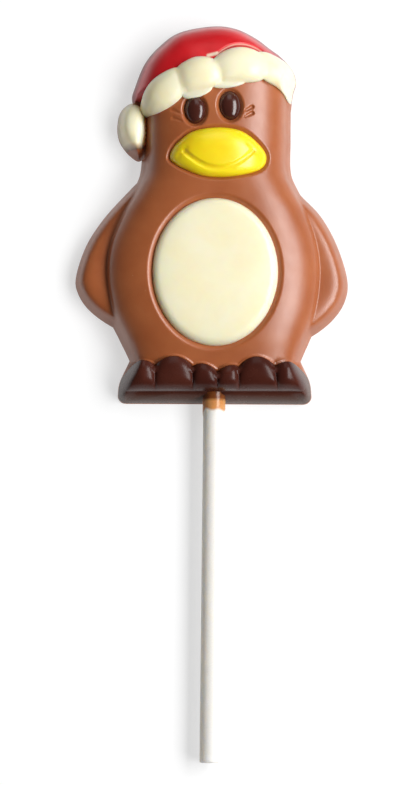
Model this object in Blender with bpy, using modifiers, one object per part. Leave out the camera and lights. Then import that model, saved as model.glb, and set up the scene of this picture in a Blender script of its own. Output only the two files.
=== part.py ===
"""A moulded chocolate penguin in a red winter hat, on a white paper stick.

The chocolate lies on its flat back: +Z is up out of the figure's front, +Y runs to its head and
+X to the viewer's right. The origin is on the flat back, in line with the stick.
Sizes are in millimetres, and a mesh is scaled to metres as it is made.
"""

import math

import bmesh
import bpy
from mathutils import Vector

MM = 0.001

# Clearances and the mould's general form
GAP = 0.3
DRAFT = math.tan(math.radians(15.0))
PLATE_TOP = 2.5
COLOUR_FLOOR = PLATE_TOP + GAP
CUTTER_TOP = 20.0
WALL = 4.0
SPARE = 1.0
WELD = 0.001
RING_SCALES = (1.0, 0.985, 0.95, 0.88, 0.77, 0.63, 0.45, 0.25)

# Head and torso: y, left and right edge on the back, and height of the crown
TORSO_STATIONS = (
    (-34.0, -16.6, 17.0, 7.6),
    (-30.6, -17.8, 18.3, 9.0),
    (-26.0, -20.0, 20.3, 10.6),
    (-20.5, -22.6, 22.6, 11.7),
    (-13.0, -24.0, 23.6, 12.2),
    (-6.5, -23.2, 22.9, 12.3),
    (0.0, -20.4, 20.6, 12.1),
    (5.0, -17.4, 18.0, 11.9),
    (9.0, -15.6, 16.3, 11.8),
    (16.0, -15.2, 16.2, 11.8),
    (24.0, -15.2, 16.2, 11.5),
    (29.0, -14.8, 15.8, 11.0),
    (33.5, -12.8, 13.6, 9.6),
)
TORSO_SECTIONS = 34
TORSO_ARC_STEPS = 20
TORSO_ARC_SPREAD = 0.8
TORSO_FULLNESS = 2.6

# Flippers: outlines on the back, from the shoulder round the tip, closed inside the torso
LEFT_FLIPPER = (
    (-15.2, 7.9), (-18.6, 4.7), (-23.4, -0.7), (-27.0, -6.4), (-29.1, -13.0), (-28.5, -16.7),
    (-26.1, -20.1), (-21.9, -23.2), (-17.0, -25.4), (-12.0, -24.0), (-9.0, -12.0), (-9.5, 4.0),
    (-12.0, 8.4),
)  # fmt: skip
RIGHT_FLIPPER = (
    (15.4, 8.0), (18.3, 4.5), (22.6, -0.1), (26.0, -6.4), (28.1, -13.6), (27.5, -18.2),
    (25.0, -22.0), (21.2, -25.1), (17.0, -27.0), (12.0, -25.0), (9.0, -12.0), (9.5, 4.0),
    (12.0, 8.4),
)  # fmt: skip
FLIPPER_CENTRES = ((-18.0, -11.0), (17.5, -11.5))
FLIPPER_FORM = (3.0, 5.6, 5.0)

# Hat: its edge on the back, closed under the face, then wall, crown height and fullness
HAT_EDGE = (
    (-17.3, 24.6), (-16.7, 27.6), (-14.6, 32.7), (-11.4, 36.5), (-7.2, 39.4), (-0.4, 40.7),
    (4.5, 40.2), (8.7, 38.2), (11.9, 35.8), (14.0, 34.2), (16.4, 31.6), (17.4, 28.6),
    (16.7, 25.8), (16.2, 22.0), (15.4, 19.4), (12.0, 16.6), (6.0, 15.0), (-6.0, 15.0),
    (-12.0, 17.0), (-15.6, 20.4),
)  # fmt: skip
HAT_CENTRE = (0.4, 24.0)
HAT_FORM = (WALL, 11.4, 2.6)
HAT_TIP = (-15.9, 24.6)

# Fur brim: a lower and an upper point on each crease, and each lobe's outward bows and rise
BRIM_CREASES = (
    ((-14.0, 19.0), (-14.7, 19.8)),
    ((-6.8, 23.5), (-7.7, 30.3)),
    ((1.6, 25.9), (0.2, 31.9)),
    ((10.4, 27.4), (9.8, 33.3)),
    ((15.7, 23.4), (15.7, 24.6)),
)
BRIM_LOBES = (
    {"lower": 0.6, "upper": 3.3, "rise": 1.9},
    {"lower": 0.4, "upper": 1.15, "rise": 2.0},
    {"lower": 0.35, "upper": 1.75, "rise": 2.1},
    {"lower": -0.4, "upper": 3.5, "rise": 1.6},
)
BRIM_STEPS = 7
BRIM_ROWS = 9
BRIM_CREASE_RISE = 0.45
BRIM_FULLNESS = (2.2, 2.4)
BRIM_THINNEST = 0.6

# Pompom: its outline on the back; its white layer ends at the dip line
POMPOM = (
    (-17.1, 24.2), (-18.9, 23.3), (-20.0, 21.7), (-20.4, 19.6), (-20.4, 17.8), (-20.0, 16.0),
    (-19.1, 14.4), (-17.7, 12.8), (-15.9, 11.7), (-13.6, 12.2), (-13.0, 18.0), (-14.0, 22.6),
    (-15.6, 24.1),
)  # fmt: skip
POMPOM_CENTRE = (-16.9, 18.3)
POMPOM_FORM = (WALL, 9.0, 2.2)
POMPOM_DIP = ((-24.0, 14.6), (-9.0, 14.6), -1.6)

# Ovals set in the front: centre, half width and height, tilt, rise, how far the rim sinks and
# how wide the moat round it is
BELLY = {
    "centre": (0.25, -13.1), "half": (13.1, 15.4), "tilt": 0.0,
    "rise": 0.35, "sink": 0.55, "fullness": 8.0, "moat": 1.1,
}  # fmt: skip
BEAK = {
    "centre": (0.9, 12.0), "half": (10.2, 5.25), "tilt": -3.0,
    "rise": 1.6, "sink": 0.3, "fullness": 2.4, "moat": 0.9,
}  # fmt: skip
LEFT_EYE = {
    "centre": (-3.75, 20.7), "half": (2.15, 2.95), "tilt": 4.0,
    "rise": 0.7, "sink": 0.5, "fullness": 2.2, "moat": 0.55,
}  # fmt: skip
RIGHT_EYE = {
    "centre": (3.6, 21.6), "half": (2.2, 3.1), "tilt": 4.0,
    "rise": 0.7, "sink": 0.5, "fullness": 2.2, "moat": 0.55,
}  # fmt: skip
INLAY_DEPTH = 1.8
MOAT_DEPTH = 0.7
OVAL_STEPS = 44

# Smile: corners and lowest point, and the short ticks across its ends
SMILE = ((-6.1, 11.9), (0.1, 8.5), (8.0, 12.0))
SMILE_TICKS = (((-7.4, 11.2), (-5.9, 12.7)), ((7.2, 13.4), (9.6, 11.1)))
SMILE_RADIUS = 0.45
SMILE_LIFT = 0.16
BAR_SIDES = 8

# Eyelashes: both ends of each pressed stroke
LASHES = (
    ((6.8, 20.7), (8.6, 21.9)),
    ((6.4, 19.2), (8.5, 20.2)),
    ((-7.1, 20.2), (-8.7, 21.1)),
    ((-7.0, 18.7), (-8.5, 19.3)),
)
LASH_RADIUS = 0.35

# Feet: each crease between toes (x at the front, x and y at the back) and each toe's back bow
TOE_CREASES = (
    (-18.3, -17.3, -32.8),
    (-12.3, -12.3, -32.5),
    (-4.4, -4.4, -32.6),
    (0.7, 0.7, -33.8),
    (5.2, 5.1, -32.7),
    (13.3, 12.7, -32.6),
    (18.4, 17.8, -32.9),
)
TOE_BOWS = (1.2, 1.9, 0.9, 0.6, 1.9, 1.0)
TOE_STEPS = 6
TOE_ROWS = 8
TOE_FRONT = -37.7
TOE_CORNER = 1.0
TOE_EDGE_HEIGHT = 7.0
TOE_CROWN = 10.0
TOE_CREASE_DROP = 1.3
TOE_BACK_DROP = 0.7
TOE_RIDGE = 0.6
TOE_FULLNESS = (2.0, 2.2)
FEET_FLOOR = 3.4

# Base under the feet: its corners on the back and the radius that rounds each
BASE_CORNERS = (
    (-17.4, -30.0, 1.4),
    (-20.1, -35.6, 8.0),
    (-20.3, -39.7, 1.7),
    (20.6, -39.9, 1.7),
    (20.3, -35.4, 8.0),
    (17.8, -30.0, 1.4),
    (14.0, -27.0, 3.0),
    (-14.0, -27.0, 3.0),
)
BASE_CENTRE = (0.0, -34.5)
PLATE_FORM = (WALL, WALL + 0.5, 5.0)

# Paper stick, from its foot towards the head, with the smear of chocolate where it goes in
STICK_RADIUS = 2.25
STICK_LENGTH = 100.0
STICK_FOOT = (-0.8, -114.9, 3.5)
STICK_EXIT = (0.0, -39.8, 3.5)
STICK_SIDES = 32
COAT_THICKNESS = 0.15
COAT_SPAN = (73.8, 79.0)
END_CHAMFER = 0.25

COLOURS = {
    "milk_chocolate": ((0.30, 0.115, 0.045), 0.38),
    "white_chocolate": ((0.86, 0.79, 0.54), 0.36),
    "red_coating": ((0.52, 0.012, 0.018), 0.30),
    "yellow_coating": ((0.93, 0.68, 0.012), 0.34),
    "dark_chocolate": ((0.055, 0.014, 0.010), 0.20),
    "white_paper": ((0.84, 0.83, 0.80), 0.75),
}


# Flat outlines


def smooth_path(points, steps):
    """A closed curve through flat points, with that many steps from each to the next."""
    count = len(points)
    path = []
    for i in range(count):
        before, start, end, after = (Vector(points[(i + k) % count]) for k in (-1, 0, 1, 2))
        for step in range(steps):
            t = step / steps
            place = start * (2 * t**3 - 3 * t**2 + 1) + end * (3 * t**2 - 2 * t**3)
            place += (end - before) / 2 * (t**3 - 2 * t**2 + t)
            place += (after - start) / 2 * (t**3 - t**2)
            path.append(place)
    return path


def rounded(corners, steps=4):
    """A closed outline through corner points, each rounded by an arc of its own radius."""
    outline = []
    for i, (x, y, radius) in enumerate(corners):
        corner = Vector((x, y))
        back = (Vector(corners[i - 1][:2]) - corner).normalized()
        ahead = (Vector(corners[(i + 1) % len(corners)][:2]) - corner).normalized()
        half_angle = back.angle(ahead) / 2
        centre = corner + (back + ahead).normalized() * radius / math.sin(half_angle)
        start = corner + back * radius / math.tan(half_angle) - centre
        end = corner + ahead * radius / math.tan(half_angle) - centre
        for step in range(steps + 1):
            outline.append(centre + start.lerp(end, step / steps).normalized() * radius)
    return outline


def oval(shape, grow=0.0):
    """Points round an oval, anticlockwise."""
    tilt = math.radians(shape["tilt"])
    points = []
    for i in range(OVAL_STEPS):
        angle = 2 * math.pi * i / OVAL_STEPS
        x = (shape["half"][0] + grow) * math.cos(angle)
        y = (shape["half"][1] + grow) * math.sin(angle)
        turned_x = x * math.cos(tilt) - y * math.sin(tilt)
        turned_y = x * math.sin(tilt) + y * math.cos(tilt)
        points.append(Vector(shape["centre"]) + Vector((turned_x, turned_y)))
    return points


def grown(outline, distance):
    """A closed outline moved outwards by that distance along its corner normals."""
    following = list(outline[1:]) + [outline[0]]
    signed_area = sum(a.x * b.y - b.x * a.y for a, b in zip(outline, following))
    outwards = math.copysign(1.0, signed_area) * distance
    moved = []
    for i, point in enumerate(outline):
        along = (following[i] - outline[i - 1]).normalized()
        moved.append(point + Vector((along.y, -along.x)) * outwards)
    return moved


def shrunk(outline, centre, scale):
    """The outline scaled towards the centre."""
    middle = Vector(centre)
    return [middle + (point - middle) * scale for point in outline]


def bow(start, end, sagitta, steps):
    """Points of a circular arc between two flat points that bows to the left of its direction."""
    start, end = Vector(start), Vector(end)
    chord = end - start
    left = Vector((-chord.y, chord.x)).normalized()
    side = math.copysign(1.0, sagitta)
    radius = chord.length**2 / (8 * abs(sagitta)) + abs(sagitta) / 2
    centre = (start + end) / 2 - left * side * (radius - abs(sagitta))
    first = math.atan2(start.y - centre.y, start.x - centre.x)
    sweep = -side * 2 * math.asin(min(1.0, chord.length / 2 / radius))
    angles = (first + sweep * i / steps for i in range(steps + 1))
    return [centre + radius * Vector((math.cos(a), math.sin(a))) for a in angles]


def bowed_edge(creases, bows, steps):
    """One edge of a lobed band: an arc from each crease to the next."""
    edge = []
    for a, b, sagitta in zip(creases, creases[1:], bows):
        edge += bow(a, b, sagitta, steps)[:-1]
    return edge + [Vector(creases[-1])]


# Heights of the moulded front


def superellipse(share, fullness):
    """Height from 1 at the middle to 0 at the edge of a dome whose edge is at share 1."""
    return math.sqrt(max(0.0, 1.0 - min(1.0, abs(share)) ** fullness))


def torso_station(y):
    """Left edge, right edge and crown of the torso at that y, smooth between the stations."""
    rows = TORSO_STATIONS
    y = min(max(y, rows[0][0]), rows[-1][0])
    i = max(k for k in range(len(rows) - 1) if rows[k][0] <= y)
    before, a, b, after = rows[max(i - 1, 0)], rows[i], rows[i + 1], rows[min(i + 2, len(rows) - 1)]
    span = b[0] - a[0]
    t = (y - a[0]) / span
    values = []
    for column in (1, 2, 3):
        slope_a = (b[column] - before[column]) / (b[0] - before[0]) * span
        slope_b = (after[column] - a[column]) / (after[0] - a[0]) * span
        blend = a[column] * (2 * t**3 - 3 * t**2 + 1) + b[column] * (3 * t**2 - 2 * t**3)
        values.append(blend + slope_a * (t**3 - 2 * t**2 + t) + slope_b * (t**3 - t**2))
    return values


def torso_height(x, y):
    """Height of the head and torso's front over a point of the back."""
    left, right, crown = torso_station(y)
    half = (right - left) / 2
    inner = half - WALL * DRAFT
    offset = abs(x - (left + right) / 2)
    if offset >= inner:
        return max(0.0, (half - offset) / DRAFT)
    return WALL + (crown - WALL) * superellipse(offset / inner, TORSO_FULLNESS)


def reach(outline, centre, direction):
    """Distance from the centre to the outline in that direction."""
    farthest = 0.0
    for a, b in zip(outline, list(outline[1:]) + [outline[0]]):
        edge, arm = b - a, a - centre
        cross = direction.cross(edge)
        if cross and 0.0 <= arm.cross(direction) / cross <= 1.0:
            farthest = max(farthest, arm.cross(edge) / cross)
    return farthest


def hat_height(x, y, outline):
    """Height of the hat's dome over a point of the back."""
    wall, crown, fullness = HAT_FORM
    arm = Vector((x, y)) - Vector(HAT_CENTRE)
    edge = reach(outline, Vector(HAT_CENTRE), arm.normalized())
    inner = edge - wall * DRAFT
    if arm.length >= inner:
        return max(0.0, (edge - arm.length) / DRAFT)
    return wall + (crown - wall) * superellipse(arm.length / inner, fullness)


# Solids


def start_collections():
    """Clears the scene and returns the collection of the parts and that of the cutters."""
    for obj in list(bpy.data.objects):
        bpy.data.objects.remove(obj, do_unlink=True)
    parts = bpy.data.collections.new("penguin_lollipop")
    cutters = bpy.data.collections.new("cutters")
    for collection in (parts, cutters):
        bpy.context.scene.collection.children.link(collection)
    return parts, cutters


def material(name):
    """The Principled material of that name, made once."""
    if name in bpy.data.materials:
        return bpy.data.materials[name]
    colour, roughness = COLOURS[name]
    made = bpy.data.materials.new(name)
    made.use_nodes = True
    shader = made.node_tree.nodes["Principled BSDF"]
    shader.inputs["Base Color"].default_value = (*colour, 1.0)
    shader.inputs["Roughness"].default_value = roughness
    shader.inputs["Metallic"].default_value = 0.0
    return made


def as_cutter(obj):
    """The object marked as a cutter."""
    obj.hide_render = True
    obj.display_type = "WIRE"
    return obj


def loft(name, rings, collection, material_name=None, apex=None):
    """A solid skinned over closed rings of like length, with flat ends or an apex on the last."""
    bm = bmesh.new()
    made = [[bm.verts.new(point) for point in ring] for ring in rings]
    for lower, upper in zip(made, made[1:]):
        for i in range(len(lower)):
            j = (i + 1) % len(lower)
            bm.faces.new((lower[i], lower[j], upper[j], upper[i]))
    bm.faces.new(made[0])
    if apex is None:
        bm.faces.new(made[-1])
    else:
        top = bm.verts.new(apex)
        for i in range(len(made[-1])):
            bm.faces.new((made[-1][i], made[-1][(i + 1) % len(made[-1])], top))
    bmesh.ops.scale(bm, vec=Vector((MM, MM, MM)), verts=bm.verts)
    bmesh.ops.recalc_face_normals(bm, faces=bm.faces)
    mesh = bpy.data.meshes.new(name)
    bm.to_mesh(mesh)
    bm.free()
    obj = bpy.data.objects.new(name, mesh)
    collection.objects.link(obj)
    if material_name:
        mesh.materials.append(material(material_name))
        return obj
    return as_cutter(obj)


def lifted(outline, z):
    """The flat outline's points at that height."""
    return [Vector((*point, z)) for point in outline]


def as_mesh(curved, collection):
    """A closed mesh object in place of a curve object."""
    evaluated = curved.evaluated_get(bpy.context.evaluated_depsgraph_get())
    mesh = bpy.data.meshes.new_from_object(evaluated)
    bm = bmesh.new()
    bm.from_mesh(mesh)
    bmesh.ops.remove_doubles(bm, verts=bm.verts, dist=WELD * MM)
    bmesh.ops.recalc_face_normals(bm, faces=bm.faces)
    bm.to_mesh(mesh)
    bm.free()
    obj = bpy.data.objects.new(curved.name, mesh)
    obj.matrix_world = curved.matrix_world
    bpy.data.objects.remove(curved, do_unlink=True)
    collection.objects.link(obj)
    return obj


def prism(name, outline, bottom, top, cutters):
    """An upright cutter on a closed flat outline."""
    curve = bpy.data.curves.new(name, "CURVE")
    curve.dimensions = "2D"
    curve.fill_mode = "BOTH"
    curve.extrude = (top - bottom) / 2 * MM
    spline = curve.splines.new("POLY")
    spline.use_cyclic_u = True
    spline.points.add(len(outline) - 1)
    for point, place in zip(spline.points, outline):
        point.co = (place.x * MM, place.y * MM, 0.0, 1.0)
    extruded = bpy.data.objects.new(name, curve)
    extruded.location.z = (bottom + top) / 2 * MM
    cutters.objects.link(extruded)
    bpy.context.view_layer.update()
    return as_cutter(as_mesh(extruded, cutters))


def walled_dome(name, outline, centre, floor, form, collection, material_name=None):
    """A moulded mass with a drafted wall on the outline, then a rounded front.

    A floor below the back leaves spare chocolate that is cut off level later.
    """
    wall, crown, fullness = form
    rings = [lifted(grown(outline, -max(floor, 0.0) * DRAFT), floor)]
    if floor < 0.0:
        rings.append(lifted(outline, 0.0))
    inner = grown(outline, -wall * DRAFT)
    for scale in RING_SCALES:
        z = wall + (crown - wall) * superellipse(scale, fullness)
        rings.append(lifted(shrunk(inner, centre, scale), z))
    return loft(name, rings, collection, material_name, Vector((*centre, crown)))


def pressed_line(name, points, height, radius, cutters):
    """A round bar that presses a groove along flat points at the height the function gives."""
    rings = []
    for i, point in enumerate(points):
        along = (points[min(i + 1, len(points) - 1)] - points[max(i - 1, 0)]).normalized()
        across = Vector((along.y, -along.x, 0.0))
        middle = Vector((*point, height(*point)))
        angles = (2 * math.pi * k / BAR_SIDES for k in range(BAR_SIDES))
        arms = (across * math.cos(a) + Vector((0.0, 0.0, math.sin(a))) for a in angles)
        rings.append([middle + arm * radius for arm in arms])
    return loft(name, rings, cutters)


def combine(target, operation, other):
    """Adds a Boolean modifier to the target."""
    modifier = target.modifiers.new(f"{operation.lower()}_{other.name}", "BOOLEAN")
    modifier.operation = operation
    modifier.solver = "EXACT"
    modifier.object = other


# Torso, and the ovals set in it


def make_torso(name, collection, material_name=None, grow=0.0):
    """Head and torso, lofted from D-shaped sections along the figure."""
    first, last = TORSO_STATIONS[0][0], TORSO_STATIONS[-1][0]
    rings = []
    for i in range(TORSO_SECTIONS + 1):
        y = first + (last - first) * i / TORSO_SECTIONS
        left, right, crown = torso_station(y)
        left, right, crown = left - grow, right + grow, crown + grow
        middle, inner = (left + right) / 2, (right - left) / 2 - WALL * DRAFT
        ring = [Vector((left, y, -SPARE)), Vector((left, y, 0.0))]
        for k in range(TORSO_ARC_STEPS + 1):
            cosine = -math.cos(math.pi * k / TORSO_ARC_STEPS)
            share = math.copysign(abs(cosine) ** TORSO_ARC_SPREAD, cosine)
            z = WALL + (crown - WALL) * superellipse(share, TORSO_FULLNESS)
            ring.append(Vector((middle + inner * share, y, z)))
        ring += [Vector((right, y, 0.0)), Vector((right, y, -SPARE))]
        rings.append(ring)
    return loft(name, rings, collection, material_name)


def inlay_floor(shape):
    """Height of the flat floor under an oval, a set depth below its rim's lowest point."""
    return min(torso_height(*point) for point in oval(shape)) - INLAY_DEPTH


def inlay_height(shape, x, y, scale):
    """Height of an oval's front on the ring of that scale."""
    swell = (shape["rise"] + shape["sink"]) * superellipse(scale, shape["fullness"])
    return torso_height(x, y) - shape["sink"] + swell


def inlay(name, shape, parts, material_name):
    """A coloured oval domed above the torso, its rim sunk in a moat."""
    outline = oval(shape)
    rings = [lifted(outline, inlay_floor(shape))]
    for scale in RING_SCALES:
        ring = shrunk(outline, shape["centre"], scale)
        rings.append([Vector((*p, inlay_height(shape, *p, scale))) for p in ring])
    apex = Vector((*shape["centre"], inlay_height(shape, *shape["centre"], 0.0)))
    return loft(name, rings, parts, material_name, apex)


def inlay_seat(name, shape, cutters):
    """The cutter for an oval's seat, flared to a moat at the surface."""
    narrow, wide = oval(shape, GAP), oval(shape, shape["moat"])
    rings = [
        lifted(narrow, inlay_floor(shape) - GAP),
        [Vector((*p, torso_height(*p) - MOAT_DEPTH)) for p in narrow],
        [Vector((*p, torso_height(*p) + 0.05)) for p in wide],
        lifted(wide, CUTTER_TOP),
    ]
    return loft(name, rings, cutters)


def make_beak(parts, cutters):
    """Yellow beak with a pressed smile."""
    beak = inlay("beak", BEAK, parts, "yellow_coating")

    def height(x, y):
        arm = Vector((x, y)) - Vector(BEAK["centre"])
        scale = math.hypot(arm.x / BEAK["half"][0], arm.y / BEAK["half"][1])
        return inlay_height(BEAK, x, y, scale) + SMILE_LIFT

    left, low, right = (Vector(point) for point in SMILE)
    lines = [bow(left, right, -((left + right) / 2 - low).length, 14)]
    lines += [[Vector(a), Vector(b)] for a, b in SMILE_TICKS]
    for i, line in enumerate(lines):
        groove = pressed_line(f"smile_{i}", line, height, SMILE_RADIUS, cutters)
        combine(beak, "DIFFERENCE", groove)
    return beak


# Hat, brim and pompom


def brim_edges():
    """The brim's lower and upper edge, point for point."""
    lows, highs = zip(*BRIM_CREASES)
    lower = bowed_edge(lows, [-lobe["lower"] for lobe in BRIM_LOBES], BRIM_STEPS)
    upper = bowed_edge(highs, [lobe["upper"] for lobe in BRIM_LOBES], BRIM_STEPS)
    return lower, upper


def make_brim(parts):
    """White fur brim: four lobes in one band, draped over the brow."""
    lower, upper = brim_edges()
    hat = smooth_path(HAT_EDGE, 4)
    along, across = BRIM_FULLNESS
    lowest = COLOUR_FLOOR + BRIM_THINNEST
    sections = []
    for i, (low, high) in enumerate(zip(lower, upper)):
        lobe = BRIM_LOBES[min(i // BRIM_STEPS, len(BRIM_LOBES) - 1)]
        swell = superellipse(2 * (i % BRIM_STEPS) / BRIM_STEPS - 1, along)
        rise = BRIM_CREASE_RISE + (lobe["rise"] - BRIM_CREASE_RISE) * swell
        section = [Vector((*low, COLOUR_FLOOR))]
        for k in range(BRIM_ROWS + 1):
            share = -math.cos(math.pi * k / BRIM_ROWS)
            point = low.lerp(high, (share + 1) / 2)
            carrier = max(torso_height(*point), hat_height(*point, hat), lowest)
            section.append(Vector((*point, carrier + rise * superellipse(share, across))))
        section.append(Vector((*high, COLOUR_FLOOR)))
        sections.append(section)
    return loft("hat_brim", sections, parts, "white_chocolate")


def make_hat(parts, cutters):
    """Red hat: the dome beyond the brim."""
    outline = smooth_path(HAT_EDGE, 4)
    hat = walled_dome("hat", outline, HAT_CENTRE, COLOUR_FLOOR, HAT_FORM, parts, "red_coating")
    _, upper = brim_edges()
    edge = grown(upper, GAP)[: (len(BRIM_LOBES) - 1) * BRIM_STEPS + 2]
    edge = [point for point in edge if point.y > HAT_TIP[1] + 0.2]
    around = ((14.5, 38.0), (24.0, 38.0), (24.0, 0.0), (-24.0, 0.0), (-24.0, HAT_TIP[1]), HAT_TIP)
    face_side = edge + [Vector(point) for point in around]
    combine(hat, "DIFFERENCE", prism("face_side", face_side, 0.0, CUTTER_TOP, cutters))
    return hat


def hat_seat(cutters):
    """The cutter that leaves only the plate of the body under the hat and brim."""
    lower, _ = brim_edges()
    under = [point - Vector((0.0, GAP)) for point in lower]
    around = ((18.5, 23.0), (20.0, 30.0), (18.0, 44.0), (-22.0, 44.0), (-22.0, 24.3), (-16.0, 24.3),
              (-15.2, 21.0))  # fmt: skip
    outline = under + [Vector(point) for point in around]
    return prism("hat_seat", outline, PLATE_TOP, CUTTER_TOP, cutters)


def below_dip(drop):
    """Outline of the pompom's lower end, from the dip line down."""
    start, end, sagitta = POMPOM_DIP
    lowered = [point - Vector((0.0, drop)) for point in bow(start, end, sagitta, 10)]
    return lowered + [Vector((-9.0, 5.0)), Vector((-24.0, 5.0))]


def make_pompom(parts, cutters):
    """White cap of the pompom, above the line where its white layer ends."""
    outline = smooth_path(POMPOM, 3)
    pompom = walled_dome(
        "pompom", outline, POMPOM_CENTRE, COLOUR_FLOOR, POMPOM_FORM, parts, "white_chocolate"
    )
    lower, upper = brim_edges()
    band = grown(lower + upper[::-1], GAP)
    for cutter in (
        prism("pompom_tail", below_dip(0.0), 0.0, CUTTER_TOP, cutters),
        make_torso("head_clearance", cutters, grow=GAP),
        prism("brim_clearance", band, 0.0, CUTTER_TOP, cutters),
    ):
        combine(pompom, "DIFFERENCE", cutter)
    return pompom


def pompom_seat(cutters):
    """The cutter that leaves only the plate of the body under the pompom's white cap."""
    outline = grown(smooth_path(POMPOM, 3), 1.0)
    seat = prism("pompom_seat", outline, PLATE_TOP, CUTTER_TOP, cutters)
    tail = prism("pompom_seat_tail", below_dip(GAP), -SPARE, CUTTER_TOP + SPARE, cutters)
    combine(seat, "DIFFERENCE", tail)
    combine(seat, "DIFFERENCE", make_torso("pompom_seat_head", cutters))
    return seat


# Feet


def toe_lines(steps):
    """For each step along the feet: its front x, its back point and its place across the toe."""
    lines = []
    for a, b, bulge in zip(TOE_CREASES, TOE_CREASES[1:], TOE_BOWS):
        last = b is TOE_CREASES[-1]
        for step in range(steps + (1 if last else 0)):
            t = step / steps
            across = 2 * t - 1
            back_x = a[1] + (b[1] - a[1]) * t
            back_y = a[2] + (b[2] - a[2]) * t + bulge * (1 - across**2)
            lines.append((a[0] + (b[0] - a[0]) * t, Vector((back_x, back_y)), across))
    return lines


def toe_front(x):
    """Y of the toes' front edge, with the base's round corners."""
    left, right = TOE_CREASES[0][0], TOE_CREASES[-1][0]
    into_corner = max(left + TOE_CORNER - x, x - right + TOE_CORNER, 0.0)
    into_corner = min(into_corner, TOE_CORNER)
    return TOE_FRONT + TOE_CORNER - math.sqrt(TOE_CORNER**2 - into_corner**2)


def make_feet(parts, cutters):
    """Dark feet: six toes in one band over the base's front wall."""
    foot_drop = (TOE_EDGE_HEIGHT - FEET_FLOOR) * DRAFT
    lines = toe_lines(TOE_STEPS)
    sections = []
    for i, (front_x, back, across) in enumerate(lines):
        end = i in (0, len(lines) - 1)
        front = Vector((front_x, toe_front(front_x)))
        crown = TOE_CROWN - TOE_CREASE_DROP * (1 - superellipse(across, TOE_FULLNESS[0]))
        slip = math.copysign(foot_drop, front_x) if end else 0.0
        section = [Vector((front.x + slip, front.y - foot_drop, FEET_FLOOR))]
        for k in range(TOE_ROWS + 1):
            share = 1 - math.cos(math.pi / 2 * k / TOE_ROWS)
            swell = superellipse(1 - min(1.0, share / TOE_RIDGE), TOE_FULLNESS[1])
            fall = max(0.0, (share - TOE_RIDGE) / (1 - TOE_RIDGE)) ** 2
            z = TOE_EDGE_HEIGHT + (crown - TOE_EDGE_HEIGHT) * swell - TOE_BACK_DROP * fall
            section.append(Vector((*front.lerp(back, share), TOE_EDGE_HEIGHT if end else z)))
        section.append(Vector((back.x + slip, back.y, FEET_FLOOR)))
        sections.append(section)
    feet = loft("feet", sections, parts, "dark_chocolate")
    combine(feet, "DIFFERENCE", stick_bore("feet_bore", cutters))
    return feet


def feet_seat(cutters):
    """The cutter that leaves only the plate of the body under the feet."""
    back = [line[1] + Vector((0.0, GAP)) for line in toe_lines(TOE_STEPS)]
    around = ((24.0, back[-1].y), (24.0, -45.0), (-24.0, -45.0), (-24.0, back[0].y))
    outline = back + [Vector(point) for point in around]
    return prism("feet_seat", outline, FEET_FLOOR - GAP, CUTTER_TOP, cutters)


# Stick


def turned(name, profile, collection):
    """A round solid on the stick's line, from pairs of distance from its foot and radius."""
    foot = Vector(STICK_FOOT)
    side = [(radius, 0.0, distance) for distance, radius in reversed(profile)]
    points = [(0.0, 0.0, side[0][2]), *side, (0.0, 0.0, side[-1][2])]
    mesh = bpy.data.meshes.new(name)
    edges = [(i, i + 1) for i in range(len(points) - 1)]
    mesh.from_pydata([Vector(point) * MM for point in points], edges, [])
    obj = bpy.data.objects.new(name, mesh)
    obj.location = foot * MM
    obj.rotation_euler = (Vector(STICK_EXIT) - foot).to_track_quat("Z", "X").to_euler()
    screw = obj.modifiers.new("turn", "SCREW")
    screw.steps = STICK_SIDES
    screw.render_steps = STICK_SIDES
    screw.use_merge_vertices = True
    screw.merge_threshold = WELD * MM
    collection.objects.link(obj)
    return obj


def stick_bore(name, cutters):
    """The cutter for the stick's blind hole."""
    radius = STICK_RADIUS + COAT_THICKNESS + GAP
    return as_cutter(turned(name, ((-SPARE, radius), (STICK_LENGTH + GAP, radius)), cutters))


def make_stick(parts):
    """Rolled paper stick with chamfered ends and a thin smear of chocolate where it goes in."""
    narrow, wide = STICK_RADIUS, STICK_RADIUS + COAT_THICKNESS
    start, end = COAT_SPAN
    profile = (
        (0.0, narrow - END_CHAMFER),
        (END_CHAMFER, narrow),
        (start, narrow),
        (start + COAT_THICKNESS, wide),
        (end - COAT_THICKNESS, wide),
        (end, narrow),
        (STICK_LENGTH - END_CHAMFER, narrow),
        (STICK_LENGTH, narrow - END_CHAMFER),
    )
    stick = turned("stick", profile, parts)
    stick.data.materials.append(material("white_paper"))
    return stick


# Milk chocolate body


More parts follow.
